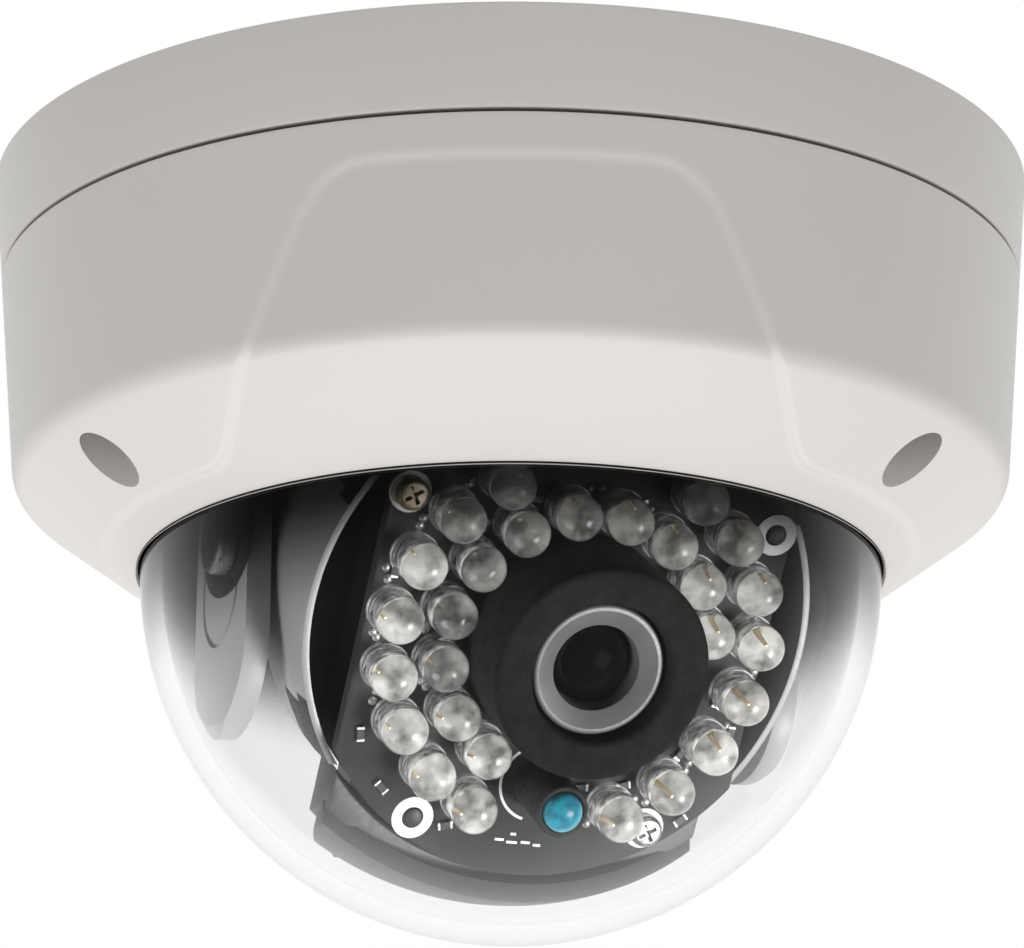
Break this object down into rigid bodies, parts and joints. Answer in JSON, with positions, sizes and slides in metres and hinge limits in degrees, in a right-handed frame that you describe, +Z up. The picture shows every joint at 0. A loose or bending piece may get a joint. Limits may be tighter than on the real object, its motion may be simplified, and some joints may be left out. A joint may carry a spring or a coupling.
{
  "type": "dome cctv camera",
  "caption": "Ceiling dome camera: round cast base and cover, clear dome, and a lens head with infrared lights that pans, tilts and rolls inside it.",
  "frame": {"origin": "middle of the flat face that lies against the ceiling", "axes": "+Z up into the ceiling, out of the ceiling face; -Y towards the front of the camera; +X to its right as seen from the front"},
  "size_m": [0.111, 0.111, 0.0824],
  "materials": {
    "white_paint": "satin off-white paint on cast metal",
    "clear_dome": "polished clear polycarbonate",
    "black_rubber": "matt moulded rubber",
    "black_plastic": "fine textured black plastic",
    "circuit_board": "dark solder mask on glass laminate",
    "green_board": "green solder mask on glass laminate",
    "screw_steel": "plated steel",
    "ring_metal": "grey anodised",
    "led_resin": "clear epoxy resin",
    "lens_glass": "coated optical glass",
    "blue_resin": "tinted epoxy resin",
    "black_foam": "closed-cell foam"
  },
  "bodies": {
    "base": {"mounting_base": "white_paint", "base_seal_ring": "black_rubber", "cable_grommet": "black_rubber", "side_outlet_plug": "black_rubber", "main_board": "green_board", "pan_clamp_ring": "black_plastic"},
    "cover": {"cover_shell": "white_paint", "dome_bubble": "clear_dome", "dome_gasket": "black_rubber", "dome_retaining_ring": "ring_metal", "cover_screw_1": "screw_steel", "cover_screw_2": "screw_steel", "cover_screw_3": "screw_steel"},
    "pan_stage": {"pan_bracket": "black_plastic", "pan_lock_screw": "screw_steel"},
    "tilt_stage": {"tilt_frame": "black_plastic", "tilt_liner": "black_plastic", "pivot_screw_left": "screw_steel", "pivot_screw_right": "screw_steel"},
    "roll_stage": {"roll_carrier": "black_plastic", "roll_retaining_ring": "screw_steel", "lens_mount": "black_plastic", "sensor_board": "green_board", "lens_barrel": "black_plastic", "lens_front_ring": "ring_metal", "lens_glass": "lens_glass", "lens_lock_ring": "ring_metal", "led_board": "circuit_board", "infrared_shield_ring": "black_foam", "light_sensor_tube": "black_rubber", "light_sensor_window": "blue_resin", "board_screw_1": "screw_steel", "board_screw_2": "screw_steel", "led_inner_01": "led_resin", "led_inner_02": "led_resin", "led_inner_03": "led_resin", "led_inner_04": "led_resin", "led_inner_05": "led_resin", "led_inner_06": "led_resin", "led_inner_07": "led_resin", "led_inner_08": "led_resin", "led_inner_09": "led_resin", "led_inner_10": "led_resin", "led_inner_11": "led_resin", "led_outer_01": "led_resin", "led_outer_02": "led_resin", "led_outer_03": "led_resin", "led_outer_04": "led_resin", "led_outer_05": "led_resin", "led_outer_06": "led_resin", "led_outer_07": "led_resin", "led_outer_08": "led_resin", "led_outer_09": "led_resin", "led_outer_10": "led_resin", "led_outer_11": "led_resin", "led_outer_12": "led_resin", "led_outer_13": "led_resin", "led_outer_14": "led_resin", "led_outer_15": "led_resin", "led_outer_16": "led_resin"}
  },
  "joints": [
    {"name": "cover_off", "type": "slide", "parent": "base", "child": "cover", "axis": [0, 0, -1], "range_m": [0, 0.075]},
    {"name": "pan", "type": "hinge", "parent": "base", "child": "pan_stage", "pos_m": [0, 0, -0.015], "axis": [0, 0, 1], "range_deg": [-177.5, 177.5]},
    {"name": "tilt", "type": "hinge", "parent": "pan_stage", "child": "tilt_stage", "pos_m": [0, 0, -0.0431], "axis": [0.9288, 0.3706, 0], "range_deg": [-19.9, 55.1]},
    {"name": "roll", "type": "hinge", "parent": "tilt_stage", "child": "roll_stage", "pos_m": [0, 0, -0.0431], "axis": [0.3039, -0.7618, -0.5721], "range_deg": [-177.5, 177.5]}
  ]
}
